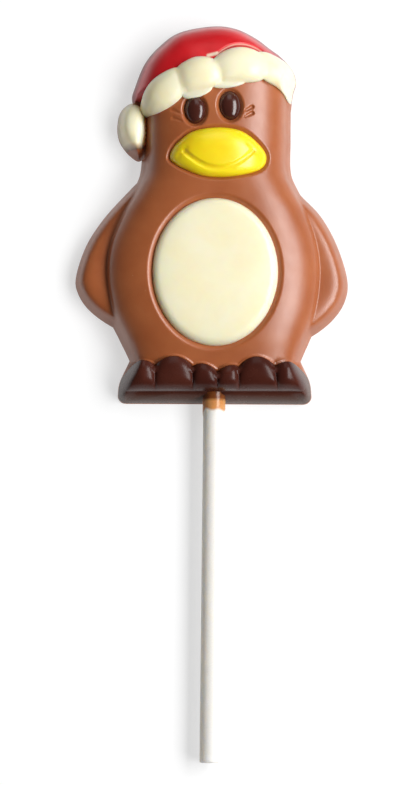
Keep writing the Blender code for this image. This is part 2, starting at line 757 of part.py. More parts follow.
def make_body(parts, cutters):
    """The figure and its plate in milk chocolate, with seats for the coloured pieces."""
    body = make_torso("body", parts, "milk_chocolate")
    masses = (
        ("flipper_left", smooth_path(LEFT_FLIPPER, 4), FLIPPER_CENTRES[0], FLIPPER_FORM),
        ("flipper_right", smooth_path(RIGHT_FLIPPER, 4), FLIPPER_CENTRES[1], FLIPPER_FORM),
        ("base", rounded(BASE_CORNERS), BASE_CENTRE, PLATE_FORM),
        ("hat_plate", smooth_path(HAT_EDGE, 4), HAT_CENTRE, PLATE_FORM),
        ("pompom_mass", smooth_path(POMPOM, 3), POMPOM_CENTRE, POMPOM_FORM),
    )
    for i, (name, outline, centre, form) in enumerate(masses):
        floor = -SPARE * (1.2 + 0.2 * i)
        combine(body, "UNION", walled_dome(name, outline, centre, floor, form, cutters))
    for seat in (hat_seat(cutters), feet_seat(cutters), pompom_seat(cutters)):
        combine(body, "DIFFERENCE", seat)
    ovals = {"belly": BELLY, "beak": BEAK, "eye_left": LEFT_EYE, "eye_right": RIGHT_EYE}
    for name, shape in ovals.items():
        combine(body, "DIFFERENCE", inlay_seat(f"{name}_seat", shape, cutters))
    for i, ends in enumerate(LASHES):
        line = [Vector(point) for point in ends]
        lash = pressed_line(f"lash_{i}", line, torso_height, LASH_RADIUS, cutters)
        combine(body, "DIFFERENCE", lash)
    corners = [Vector((x, y)) for x, y in ((-40, -60), (40, -60), (40, 60), (-40, 60))]
    combine(body, "DIFFERENCE", prism("level_back", corners, -SPARE * 5, 0.0, cutters))
    combine(body, "DIFFERENCE", stick_bore("bore", cutters))
    return body


def main():
    parts, cutters = start_collections()
    make_body(parts, cutters)
    make_hat(parts, cutters)
    make_brim(parts)
    make_pompom(parts, cutters)
    inlay("eye_left", LEFT_EYE, parts, "dark_chocolate")
    inlay("eye_right", RIGHT_EYE, parts, "dark_chocolate")
    make_beak(parts, cutters)
    inlay("belly", BELLY, parts, "white_chocolate")
    make_feet(parts, cutters)
    make_stick(parts)


main()
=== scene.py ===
"""Looks for the chocolate penguin lollipop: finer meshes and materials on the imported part.

Sizes are in millimetres in the part's own frame: +X to the viewer's right, +Y to the head and +Z
up out of the figure's front. A mesh is scaled to metres as it is made. The moulded front is one
set of height functions, and each colour is a closed mesh under those heights.
"""

import math

import bmesh
import bpy
import numpy as np
from mathutils import Matrix, Vector
from mathutils.geometry import delaunay_2d_cdt

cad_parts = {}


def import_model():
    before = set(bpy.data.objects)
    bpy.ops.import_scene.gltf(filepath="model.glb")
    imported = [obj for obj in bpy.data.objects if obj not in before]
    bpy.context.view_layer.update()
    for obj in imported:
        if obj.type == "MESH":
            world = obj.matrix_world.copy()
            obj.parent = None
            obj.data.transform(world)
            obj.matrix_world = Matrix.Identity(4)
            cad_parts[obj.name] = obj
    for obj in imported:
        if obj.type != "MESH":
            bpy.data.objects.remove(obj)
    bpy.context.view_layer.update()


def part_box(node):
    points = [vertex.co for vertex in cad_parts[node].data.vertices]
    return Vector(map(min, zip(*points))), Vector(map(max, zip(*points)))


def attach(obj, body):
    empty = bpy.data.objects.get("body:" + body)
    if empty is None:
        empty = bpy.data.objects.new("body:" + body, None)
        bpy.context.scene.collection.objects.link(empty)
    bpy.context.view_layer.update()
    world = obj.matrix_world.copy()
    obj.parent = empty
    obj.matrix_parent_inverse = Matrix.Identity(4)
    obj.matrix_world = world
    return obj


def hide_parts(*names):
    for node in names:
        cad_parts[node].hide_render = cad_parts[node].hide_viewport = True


MM = 0.001

# The mould: draft of its walls, and how softly its forms run into each other
DRAFT = math.tan(math.radians(15.0))
WALL = 4.0
WALL_BLEND = 1.6
CREASE_BLEND = 0.7
LOWEST = 0.02

# Milk chocolate behind the hat and the feet: its top, and the edge over which it drops to that
PLATE_TOP = 2.5
FEET_PLATE_TOP = 3.1
COVER_EDGE = (0.5, 0.9)

# Spacing of the points in a mesh: even, near fine detail, and rows along an edge
COARSE = 0.55
FINE = 0.2
FINE_REACH = 1.3
RIM_OFFSETS = (0.08, 0.18, 0.32, 0.5, 0.75, 1.05, 1.4)

# Head and torso: y, left and right edge on the back, and height of the crown
TORSO_STATIONS = np.array((
    (-34.0, -16.6, 17.0, 7.6),
    (-30.6, -17.8, 18.3, 9.0),
    (-26.0, -20.0, 20.3, 10.6),
    (-20.5, -22.6, 22.6, 11.7),
    (-13.0, -24.0, 23.6, 12.2),
    (-6.5, -23.2, 22.9, 12.3),
    (0.0, -20.4, 20.6, 12.1),
    (5.0, -17.4, 18.0, 11.9),
    (9.0, -15.6, 16.3, 11.8),
    (16.0, -15.2, 16.2, 11.8),
    (24.0, -15.2, 16.2, 11.5),
    (29.0, -14.8, 15.8, 11.0),
    (33.5, -12.8, 13.6, 9.6),
))

# How full the cross-sections of the torso and the head are, and the y over which they change
TORSO_FULLNESS = 3.0
HEAD_FULLNESS = 2.3
CHIN = (2.0, 12.0)

# Flippers: outlines on the back, from the shoulder round the tip, closed inside the torso, then
# their middles and their wall, crown height and fullness
LEFT_FLIPPER = (
    (-15.2, 7.9), (-18.6, 4.7), (-23.4, -0.7), (-27.0, -6.4), (-29.1, -13.0), (-28.5, -16.7),
    (-26.1, -20.1), (-21.9, -23.2), (-17.0, -25.4), (-12.0, -24.0), (-9.0, -12.0), (-9.5, 4.0),
    (-12.0, 8.4),
)
RIGHT_FLIPPER = (
    (15.4, 8.0), (18.3, 4.5), (22.6, -0.1), (26.0, -6.4), (28.1, -13.6), (27.5, -18.2),
    (25.0, -22.0), (21.2, -25.1), (17.0, -27.0), (12.0, -25.0), (9.0, -12.0), (9.5, 4.0),
    (12.0, 8.4),
)
FLIPPER_CENTRES = ((-18.0, -11.0), (17.5, -11.5))
FLIPPER_FORM = (3.0, 5.6, 6.5)

# Where the mesh is fine along the crease of a flipper: both ends in y, and how far in it runs
FLIPPER_CREASE = (-26.0, 6.0)
CREASE_INSET = 1.6

# Hat: its edge on the back, closed under the face, then wall, crown height and fullness
HAT_EDGE = (
    (-17.3, 24.6), (-16.7, 27.6), (-14.6, 32.7), (-11.4, 36.5), (-7.2, 39.4), (-0.4, 40.7),
    (4.5, 40.2), (8.7, 38.2), (11.9, 35.8), (14.0, 34.2), (16.4, 31.6), (17.4, 28.6),
    (16.7, 25.8), (16.2, 22.0), (15.4, 19.4), (12.0, 16.6), (6.0, 15.0), (-6.0, 15.0),
    (-12.0, 17.0), (-15.6, 20.4),
)
HAT_CENTRE = (0.4, 24.0)
HAT_FORM = (WALL, 11.4, 2.6)
BROW_BLEND = 1.5

# Colours on the mould's wall: how far in they stand, how far out, and where they end below
COLOUR_WALL_OFFSET = 0.1
COLOUR_LIFT = 0.15
COLOUR_FLOOR = 0.2

# Fur brim: the outline of each lobe, where it stands highest and how far it rises
BRIM_LOBES = (
    {"centre": (-10.6, 25.4), "rise": 1.9, "edge": (
        (-15.5, 21.4), (-15.0, 24.4), (-13.4, 27.2), (-10.7, 29.1), (-7.7, 30.0), (-5.9, 28.4),
        (-5.7, 25.5), (-7.1, 23.3), (-9.6, 21.5), (-13.0, 20.4))},
    {"centre": (-3.0, 28.6), "rise": 2.0, "edge": (
        (-7.8, 29.8), (-5.9, 31.4), (-3.4, 32.3), (-0.4, 31.9), (1.6, 30.0), (1.9, 27.6),
        (0.2, 25.8), (-2.9, 24.9), (-6.3, 24.8), (-7.8, 27.2))},
    {"centre": (5.6, 30.6), "rise": 2.15, "edge": (
        (-0.3, 31.3), (1.5, 33.1), (3.8, 34.2), (6.3, 34.5), (9.0, 33.8), (11.3, 32.0),
        (11.6, 29.4), (10.3, 27.6), (7.9, 26.8), (4.6, 26.7), (1.3, 27.0), (-0.2, 29.2))},
    {"centre": (12.8, 29.8), "rise": 1.7, "edge": (
        (8.6, 33.1), (10.9, 33.8), (14.0, 33.4), (17.0, 31.5), (18.2, 28.6), (17.4, 25.6),
        (16.1, 23.8), (14.7, 25.1), (13.0, 26.3), (10.5, 27.5), (8.8, 29.8))},
)

# Brim: how softly the lobes join, how much they follow the brow's slope, how full they are, how
# far their edge sinks, the shares of the hat's reach over which that ends and past which the
# brim keeps to the silhouette, and the x where its wall starts
BRIM_BLEND = 0.85
BRIM_FOLLOW = 0.6
BRIM_FULLNESS = 2.4
BRIM_SINK = 0.35
BRIM_SINK_END = (0.9, 0.98)
BRIM_SNAP = 0.985
BRIM_WALL_START = 8.0

# The y at which the red ends on the hat's silhouette
HAT_LEFT_END = 23.4
HAT_RIGHT_END = 33.0

# White chocolate that ran out under the brim: centre, half width and height, tilt
BRIM_DRIPS = (((-3.5, 24.7), (3.2, 1.15), 16.0), ((3.2, 26.5), (3.5, 0.95), 9.0))
DRIP_RISE = 0.3

# Hat: the groove above the third lobe, its bow, radius and depth, the white film at its left
# end, the pale line of painted highlight along the groove, and the distances over which each thins
# out
GROOVE = ((0.9, 33.0), (10.0, 33.9))
GROOVE_BOW = 1.75
GROOVE_FORM = (0.36, 0.45)
FILM = ((-1.2, 32.5), (0.7, 33.0))
FILM_EDGE = (0.15, 0.55)
# Painted highlight: how strong the pale line along the groove's lips is, and where its edge fades
GROOVE_HIGHLIGHT = 0.55
GROOVE_HIGHLIGHT_EDGE = (0.05, 0.3)

# Pompom: its outline on the back, its middle, its wall, crown height and fullness, the y where
# its white layer ends, and the layer's thickness and edge
POMPOM = (
    (-17.1, 24.2), (-18.9, 23.3), (-20.0, 21.7), (-20.4, 19.6), (-20.4, 17.8), (-20.0, 16.0),
    (-19.1, 14.4), (-17.7, 12.8), (-15.9, 11.7), (-14.4, 12.9), (-13.6, 15.2), (-13.3, 18.0),
    (-13.8, 21.1), (-15.1, 23.5),
)
POMPOM_CENTRE = (-16.9, 18.1)
POMPOM_FORM = (2.4, 6.3, 2.5)
POMPOM_DIP = 13.6
POMPOM_LAYER = 0.5
POMPOM_LAYER_EDGE = (0.2, 0.8)

# Belly, beak and eyes: how far each stands over the front and how far its rim sinks, how wide
# its rounded rim or how full its dome is, the height of its flat underside, the width and depth
# of the moat round it, and how far out the mesh of the moat is finest
BELLY = {
    "rise": 0.45, "sink": 0.9, "rim": 1.6, "floor": 8.0, "moat": 1.1, "depth": 0.95, "fine": 0.6,
}
BEAK = {
    "rise": 1.7, "sink": 0.65, "fullness": 2.5, "floor": 8.5, "moat": 0.75, "depth": 0.9,
    "fine": 0.6,
}
EYE = {
    "rise": 0.75, "sink": 0.7, "fullness": 2.2, "floor": 9.0, "moat": 0.72, "depth": 0.8,
    "fine": 0.4,
}

# Moat: where its slope starts and how its lip is rounded, then the hidden seat inside it
LIP_START = 0.08
LIP_ROUND = 0.3
SEAT_DEPTH = 0.9
SEAT_EDGE = (0.1, 0.5)

# Eyes: their tilt, their place in their node's box, and how their sockets differ
EYE_TILT = 4.0
EYE_SHIFT = (-0.15, 0.3)
SOCKET_SHIFT = (-0.12, -0.14)
SOCKET_GAP = 0.05

# Beak: its outline and middle
BEAK_EDGE = (
    (-9.3, 11.2), (-8.6, 13.0), (-7.1, 14.6), (-4.4, 16.4), (0.6, 17.2), (5.4, 16.6), (8.8, 14.4),
    (10.9, 11.7), (10.3, 9.1), (7.5, 7.6), (2.3, 6.7), (-2.4, 7.0), (-6.2, 8.5), (-8.6, 10.0),
)
BEAK_CENTRE = (0.9, 12.0)

# Smile: its corners and lowest point, and the short ticks across its ends
SMILE = ((-6.1, 11.9), (0.1, 8.5), (8.0, 12.0))
SMILE_TICKS = (((-7.4, 11.2), (-5.9, 12.8)), ((7.2, 13.7), (9.6, 11.1)))
SMILE_RADIUS = 0.6
SMILE_DEPTH = 0.4
TICK_DEPTH = 0.13

# Eyelashes: both ends of each pressed stroke, from the eye outwards, and its depth
LASHES = (
    ((6.6, 20.8), (7.9, 21.6), 0.5),
    ((6.5, 19.5), (7.9, 20.3), 0.5),
    ((-6.9, 20.1), (-8.7, 21.0), 0.15),
    ((-6.8, 18.6), (-8.5, 19.3), 0.15),
)
LASH_RADII = (0.26, 0.5)

# Feet: each crease between toes (x at the front, x and y at the back), each toe's back bow, the
# steps along each toe, and the y and both ends of the line of their noses
TOE_CREASES = (
    (-19.1, -17.9, -32.8),
    (-12.3, -12.3, -32.5),
    (-4.4, -4.4, -32.6),
    (0.7, 0.7, -33.8),
    (5.2, 5.1, -32.7),
    (13.3, 12.7, -32.6),
    (19.2, 18.4, -32.9),
)
TOE_BOWS = (1.2, 1.9, 0.9, 0.6, 1.9, 1.0)
TOE_STEPS = 18
TOE_FRONT = -37.7
TOE_FRONT_ENDS = (-18.0, 18.2)

# Toes: heights, fullness, the share of their length that the nose takes, how softly they run
# into the wall in the middle and at the ends of the row, and how low and from what x the ends lie
TOE_EDGE_HEIGHT = 5.4
TOE_CROWN = 10.0
TOE_CREASE_DROP = 1.5
TOE_BACK_DROP = 0.7
TOE_FULLNESS = 2.2
TOE_NOSE = 0.6
TOE_BLEND = (1.8, 3.5)
TOE_END_DROP = 1.6
TOE_ENDS = (14.5, 19.0)

# Ridge of milk chocolate behind the toes: its height, its distance from them and its width
TOE_RIDGE = (0.3, 0.22, 0.2)

# Base under the feet: its corners on the back and the radius that rounds each
BASE_CORNERS = (
    (-17.4, -30.0, 1.4),
    (-20.1, -35.6, 8.0),
    (-20.3, -39.7, 1.7),
    (20.6, -39.9, 1.7),
    (20.3, -35.4, 8.0),
    (17.8, -30.0, 1.4),
    (14.0, -27.0, 3.0),
    (-14.0, -27.0, 3.0),
)
BASE_TOP = 4.5

# Paper stick, from its foot towards the head
STICK_RADIUS = 2.25
STICK_LENGTH = 100.0
STICK_FOOT = (-0.8, -114.9, 3.5)
STICK_EXIT = (0.0, -39.8, 3.5)
STICK_SIDES = 96
END_CHAMFER = 0.25

# The smear: its thickness, where it starts and ends, how fast it fades in, and the waves of its
# ragged edge as height, count round the stick and phase, with one tongue
COAT_THICKNESS = 0.14
COAT_START = 72.9
COAT_END = 79.0
COAT_FADE = (-0.15, 0.45)
COAT_WAVES = ((0.35, 3, 0.6), (0.2, 5, 2.0))
COAT_TONGUE = 0.7

# Floor: half its side, and its top, just under the back
FLOOR_HALF = 4000.0
FLOOR_TOP = -0.02

# Lights: what they shine on, then each one's tilt to the right and to the feet, its distance,
# its size along and across the figure, and its power
LIGHT_AIM = (0.0, -10.0, 0.0)
KEY_LIGHT = ((42.0, 1.0), 1100.0, (1300.0, 480.0), 19.3)
HEAD_FILL = ((0.0, -50.0), 1300.0, (700.0, 700.0), 1.8)

# Camera: what it looks at, its distance, its tilt towards the feet and its lens
CAMERA_AIM = (-1.47, -37.3, 0.0)
CAMERA_DISTANCE = 900.0
CAMERA_TILT = 6.0
CAMERA_LENS = 196.5
SENSOR_WIDTH = 36.0


# Flat outlines


def smooth_path(points, steps=8):
    """A closed curve through flat points, with that many steps from each to the next."""
    start = np.array(points, float)
    before, end, after = (np.roll(start, shift, axis=0) for shift in (1, -1, -2))
    rows = []
    for t in np.arange(steps) / steps:
        place = start * (2 * t**3 - 3 * t**2 + 1) + end * (3 * t**2 - 2 * t**3)
        place += (end - before) / 2 * (t**3 - 2 * t**2 + t)
        rows.append(place + (after - start) / 2 * (t**3 - t**2))
    return np.stack(rows, axis=1).reshape(-1, 2)


def unit(vector):
    """The vector, or each row of vectors, at length 1."""
    return vector / np.linalg.norm(vector, axis=-1, keepdims=True)


def rounded(corners, steps=8):
    """A closed outline through corner points, each rounded by an arc of its own radius."""
    places = np.array(corners)[:, :2]
    outline = []
    for i, (x, y, radius) in enumerate(corners):
        corner = np.array((x, y))
        back = unit(places[i - 1] - corner)
        ahead = unit(places[(i + 1) % len(places)] - corner)
        half_angle = math.acos(back @ ahead) / 2
        centre = corner + unit(back + ahead) * radius / math.sin(half_angle)
        start = corner + back * radius / math.tan(half_angle) - centre
        end = corner + ahead * radius / math.tan(half_angle) - centre
        for share in np.linspace(0.0, 1.0, steps + 1):
            outline.append(centre + unit(start + (end - start) * share) * radius)
    return np.array(outline)


def oval(centre, half, tilt=0.0, count=96):
    """Points round an oval, anticlockwise."""
    angle = np.arange(count) * 2 * math.pi / count
    x, y = half[0] * np.cos(angle), half[1] * np.sin(angle)
    cosine, sine = math.cos(math.radians(tilt)), math.sin(math.radians(tilt))
    return np.column_stack((x * cosine - y * sine, x * sine + y * cosine)) + centre


def node_oval(name, tilt=0.0):
    """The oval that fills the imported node's box, seen from above."""
    low, high = (np.array(corner[:2]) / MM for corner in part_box(name))
    return oval((low + high) / 2, (high - low) / 2, tilt)


def eye_oval(name):
    """The edge of an eye."""
    return node_oval(name, EYE_TILT) + EYE_SHIFT


def beak_outline():
    """The edge of the beak."""
    return smooth_path(BEAK_EDGE, 6)


def grown(outline, distance):
    """A closed outline moved outwards by that distance along its corner normals."""
    following, before = np.roll(outline, -1, axis=0), np.roll(outline, 1, axis=0)
    area = np.sum(outline[:, 0] * following[:, 1] - following[:, 0] * outline[:, 1])
    along = unit(following - before)
    outwards = math.copysign(1.0, area) * distance
    return outline + np.column_stack((along[:, 1], -along[:, 0])) * outwards


def bow(start, end, sagitta, steps):
    """Points of a flat parabola between two points that bows to the left of its direction."""
    start, end = np.array(start, float), np.array(end, float)
    along = unit(end - start)
    share = np.linspace(0.0, 1.0, steps + 1)[:, None]
    return start + (end - start) * share + 4 * sagitta * share * (1 - share) * (-along[1], along[0])


def closed(outline):
    """The outline as a line that ends where it starts."""
    return np.vstack((outline, outline[:1]))


def depth_inside(outline, points):
    """Distance of each point from a closed outline, positive inside it."""
    nearest = np.full(len(points), np.inf)
    inside = np.zeros(len(points), bool)
    for a, b in zip(outline, np.roll(outline, -1, axis=0)):
        arm, edge = points - a, b - a
        share = np.clip(arm @ edge / max(edge @ edge, 1e-12), 0.0, 1.0)
        nearest = np.minimum(nearest, np.hypot(*(arm - share[:, None] * edge).T))
        crosses = (a[1] > points[:, 1]) != (b[1] > points[:, 1])
        if edge[1]:
            inside ^= crosses & (points[:, 0] < a[0] + edge[0] * arm[:, 1] / edge[1])
    return np.where(inside, nearest, -nearest)


def line_distance(line, points):
    """Distance of each point from an open line, and how far along the line it is nearest."""
    nearest = np.full(len(points), np.inf)
    along = np.zeros(len(points))
    for i, (a, b) in enumerate(zip(line, line[1:])):
        arm, edge = points - a, b - a
        share = np.clip(arm @ edge / (edge @ edge), 0.0, 1.0)
        distance = np.hypot(*(arm - share[:, None] * edge).T)
        along = np.where(distance < nearest, (i + share) / (len(line) - 1), along)
        nearest = np.minimum(nearest, distance)
    return nearest, along


def radial_share(outline, centre, points):
    """How far out each point lies from the centre, as a share of the outline's distance."""
    arms, spokes = outline - centre, points - centre
    angles = np.arctan2(arms[:, 1], arms[:, 0])
    reach = np.hypot(*arms.T)
    order = np.argsort(angles)
    towards = np.arctan2(spokes[:, 1], spokes[:, 0])
    edge = np.interp(towards, angles[order], reach[order], period=2 * math.pi)
    return np.hypot(*spokes.T) / edge


# Heights


def superellipse(share, fullness):
    """Height from 1 at the middle to 0 at the edge of a dome whose edge is at share 1."""
    return np.sqrt(1.0 - np.clip(np.abs(share), 0.0, 1.0) ** fullness)


def smooth(start, end, value):
    """0 below the start, 1 above the end and smooth between."""
    t = np.clip((value - start) / (end - start), 0.0, 1.0)
    return t * t * (3 - 2 * t)


def soft_min(a, b, radius):
    """The lower of two heights, with the edge between them rounded."""
    overlap = np.clip(radius - np.abs(a - b), 0.0, None)
    return np.minimum(a, b) - overlap**2 / (4 * radius)


def soft_max(a, b, radius):
    """The higher of two heights, with the crease between them filled."""
    return -soft_min(-a, -b, radius)


def torso_station(y):
    """Left edge, right edge and crown of the torso at each y, smooth between the stations."""
    rows = TORSO_STATIONS
    last = len(rows) - 1
    y = np.clip(y, rows[0, 0], rows[-1, 0])
    i = np.clip(np.searchsorted(rows[:, 0], y, side="right") - 1, 0, last - 1)
    before, a, b, after = (rows[np.clip(i + k, 0, last)] for k in (-1, 0, 1, 2))
    span = (b - a)[:, :1]
    t = (y[:, None] - a[:, :1]) / span
    slope_a = (b - before) / (b - before)[:, :1] * span
    slope_b = (after - a) / (after - a)[:, :1] * span
    blend = a * (2 * t**3 - 3 * t**2 + 1) + b * (3 * t**2 - 2 * t**3)
    blend += slope_a * (t**3 - 2 * t**2 + t) + slope_b * (t**3 - t**2)
    return blend[:, 1], blend[:, 2], blend[:, 3]


def torso_outline():
    """The torso's edge on the back."""
    y = np.linspace(TORSO_STATIONS[0, 0], TORSO_STATIONS[-1, 0], 110)
    left, right, _ = torso_station(y)
    return np.vstack((np.column_stack((right, y)), np.column_stack((left, y))[::-1]))


def torso_height(points):
    """Height of the head and torso's front."""
    left, right, crown = torso_station(points[:, 1])
    half = (right - left) / 2
    offset = np.abs(points[:, 0] - (left + right) / 2)
    share = offset / (half - WALL * DRAFT)
    head = smooth(*CHIN, points[:, 1])
    fullness = TORSO_FULLNESS + (HEAD_FULLNESS - TORSO_FULLNESS) * head
    front = WALL + (crown - WALL) * superellipse(share, fullness)
    return soft_min((half - offset) / DRAFT, front, WALL_BLEND)


def dome(outline, centre, form, points):
    """Height of a moulded mass with a drafted wall on its outline and a rounded front."""
    wall, crown, fullness = form
    share = radial_share(grown(outline, -wall * DRAFT), np.array(centre), points)
    front = wall + (crown - wall) * superellipse(share, fullness)
    return soft_min(depth_inside(outline, points) / DRAFT, front, WALL_BLEND)


def hat_height(points):
    """Height of the hat's dome."""
    return dome(smooth_path(HAT_EDGE), HAT_CENTRE, HAT_FORM, points)


def pompom_height(points):
    """Height of the pompom."""
    return dome(smooth_path(POMPOM), POMPOM_CENTRE, POMPOM_FORM, points)


def plate_height(outline, top, points):
    """Height of a flat plate with a drafted wall."""
    return np.minimum(depth_inside(outline, points) / DRAFT, top)


def pressed(height, line, radii, depth, points):
    """The height with a round groove pressed along a line, its radius given at both ends."""
    distance, along = line_distance(np.array(line, float), points)
    radius = radii[0] + (radii[1] - radii[0]) * along
    return height - depth * np.clip(1.0 - (distance / radius) ** 2, 0.0, 1.0) ** 0.8


def moated(height, outline, form, points):
    """The height with a moat pressed round an outline and a hidden seat inside it."""
    depth = depth_inside(outline, points)
    slope = np.clip(1.0 + depth / form["moat"], 0.0, 1.0)
    lip = soft_max(slope - LIP_START, np.zeros_like(slope), LIP_ROUND)
    drop = form["depth"] * np.where(slope > 0.001, np.clip(lip, 0.0, 1.0), 0.0)
    return height - drop - SEAT_DEPTH * smooth(*SEAT_EDGE, depth)


# Meshes


def mesh_object(name, vertices, faces, material):
    """An object from vertices in millimetres."""
    mesh = bpy.data.meshes.new(name)
    mesh.from_pydata([tuple(float(c) * MM for c in vertex) for vertex in vertices], [], faces)
    mesh.materials.append(material)
    mesh.update()
    obj = bpy.data.objects.new(name, mesh)
    bpy.context.scene.collection.objects.link(obj)
    return obj


def finish_piece(obj, slot, *nodes):
    """Smooths a finished piece, fixes it to the part and hides the imported nodes it stands for."""
    bm = bmesh.new()
    bm.from_mesh(obj.data)
    bmesh.ops.recalc_face_normals(bm, faces=bm.faces)
    bm.to_mesh(obj.data)
    bm.free()
    obj.data.shade_smooth()
    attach(obj, "root")
    if nodes:
        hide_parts(*nodes)
    return obj


def set_mask(obj, name, values):
    """Stores one number for each vertex, for the material to read."""
    attribute = obj.data.attributes.new(name, "FLOAT", "POINT")
    attribute.data.foreach_set("value", np.asarray(values, float))


def flat_places(obj):
    """The vertices' places in millimetres, as rows of x, y and z."""
    places = np.empty(len(obj.data.vertices) * 3)
    obj.data.vertices.foreach_get("co", places)
    return places.reshape(-1, 3) / MM


def hex_points(low, high, spacing):
    """An even grid of points over a box, every second row shifted by half a step."""
    rows = np.arange(low[1], high[1], spacing * math.sqrt(3) / 2)
    x, y = np.meshgrid(np.arange(low[0], high[0], spacing), rows)
    x[1::2] += spacing / 2
    return np.column_stack((x.ravel(), y.ravel()))


def triangulated(outlines, inner=()):
    """Points and triangles over closed outlines, with the inner points used as they are."""
    loops, first = [], 0
    for outline in outlines:
        loops.append(list(range(first, first + len(outline))))
        first += len(outline)
    coords = [Vector(point) for row in (*outlines, inner) for point in row]
    flat, _, triangles, *_ = delaunay_2d_cdt(coords, [], loops, 1, 1e-5)
    return np.array([tuple(point) for point in flat]), triangles


def union_outline(outlines):
    """The outer edge of overlapping closed outlines, anticlockwise."""
    points, triangles = triangulated(outlines)
    sides = {pair for t in triangles for pair in zip(t, (*t[1:], t[0]))}
    onward = {a: b for a, b in sorted(sides) if (b, a) not in sides}
    longest = []
    while onward:
        loop = list(onward.popitem())
        while loop[-1] in onward:
            loop.append(onward.pop(loop[-1]))
        longest = max(longest, loop, key=len)
    return points[longest[:-1]]


def inner_points(outline, features, spacing):
    """Points for a mesh: rows along its edge, then a grid that is finer at the features."""
    rows = []
    for offset in RIM_OFFSETS:
        row = grown(outline, -offset)
        inside = depth_inside(outline, row)
        rows.append(row[(inside > offset * 0.8) & (inside < offset + 0.05)])
    low, high = outline.min(axis=0), outline.max(axis=0)
    grid = hex_points(low, high, spacing)
    if features:
        fine = hex_points(low, high, FINE)
        coarse_gap, fine_gap = (
            np.min([line_distance(line, points)[0] for line in features], axis=0)
            for points in (grid, fine)
        )
        grid = np.vstack((grid[coarse_gap > FINE_REACH], fine[fine_gap <= FINE_REACH]))
    rows.append(grid[depth_inside(outline, grid) > RIM_OFFSETS[-1] + FINE])
    return np.vstack(rows)


def patch(name, outline, height, floor, material, features=(), spacing=COARSE):
    """A closed mesh inside a flat outline: a moulded front, drafted down to a flat floor."""
    features = [np.array(line, float) for line in features]
    inner = inner_points(outline, features, spacing)
    points, triangles = triangulated([outline], inner)
    z = height(points)
    obj = mesh_object(name, np.column_stack((points, z)), triangles, material)
    bm = bmesh.new()
    bm.from_mesh(obj.data)
    bmesh.ops.delete(bm, geom=[v for v in bm.verts if not v.link_faces], context="VERTS")
    rim = [edge for edge in bm.edges if edge.is_boundary]
    skirt = bmesh.ops.extrude_edge_only(bm, edges=rim)["geom"]
    for vertex in (element for element in skirt if isinstance(element, bmesh.types.BMVert)):
        vertex.co.z = floor * MM
    lower = [element for element in skirt if isinstance(element, bmesh.types.BMEdge)]
    bmesh.ops.holes_fill(bm, edges=[edge for edge in lower if edge.is_boundary])
    bm.to_mesh(obj.data)
    bm.free()
    return obj


def band(name, sections, material):
    """A closed mesh skinned over sections, each a closed ring of like length."""
    count, ring = len(sections), len(sections[0])
    faces = []
    for i in range(count - 1):
        for k in range(ring):
            following = (k + 1) % ring
            corners = (i * ring + k, i * ring + following)
            faces.append((*corners, corners[1] + ring, corners[0] + ring))
    faces.append(tuple(range(ring)))
    faces.append(tuple(range((count - 1) * ring, count * ring)))
    return mesh_object(name, np.vstack(sections), faces, material)


# Edges of the hat, the brim and the feet


def hat_outline(inset=0.0):
    """The hat's edge on the back, moved inwards."""
    return grown(smooth_path(HAT_EDGE), -inset)


def brim_lobes():
    """Outline, centre and rise of each lobe of the brim and of each drip under it."""
    lobes = [(smooth_path(lobe["edge"], 6), lobe["centre"], lobe["rise"]) for lobe in BRIM_LOBES]
    for centre, half, tilt in BRIM_DRIPS:
        lobes.append((oval(centre, half, tilt, 48), centre, DRIP_RISE))
    return lobes


def toe_lines():
    """Along the feet: each step's x at the front and its point at the back."""
    front, back = [], []
    for a, b, bulge in zip(TOE_CREASES, TOE_CREASES[1:], TOE_BOWS):
        for t in np.arange(TOE_STEPS) / TOE_STEPS:
            side = 2 * t - 1
            front.append(a[0] + (b[0] - a[0]) * t)
            y = a[2] + (b[2] - a[2]) * t + bulge * (1 - side**2)
            back.append((a[1] + (b[1] - a[1]) * t, y))
    front.append(TOE_CREASES[-1][0])
    back.append(TOE_CREASES[-1][1:])
    return np.array(front), np.array(back)


def brow_line():
    """The line through the lobes' highest points, where the red ends under the white."""
    return np.array([lobe["centre"] for lobe in BRIM_LOBES])


def depth_under_hat(points):
    """How deep each point lies under the hat, closed outside the figure, and its brim."""
    around = ((19.0, 26.0), (22.0, 44.0), (-22.0, 44.0), (-22.0, 24.3), (-15.0, 24.0))
    depths = [depth_inside(np.vstack((brow_line(), around)), points)]
    depths += [depth_inside(outline, points) for outline, _, _ in brim_lobes()[: len(BRIM_LOBES)]]
    return np.max(depths, axis=0)


def under_feet():
    """Outline of all that lies under the feet, closed well outside the figure."""
    _, back = toe_lines()
    around = ((24.0, back[-1, 1]), (24.0, -45.0), (-24.0, -45.0), (-24.0, back[0, 1]))
    return np.vstack((back, around))


# Milk chocolate body


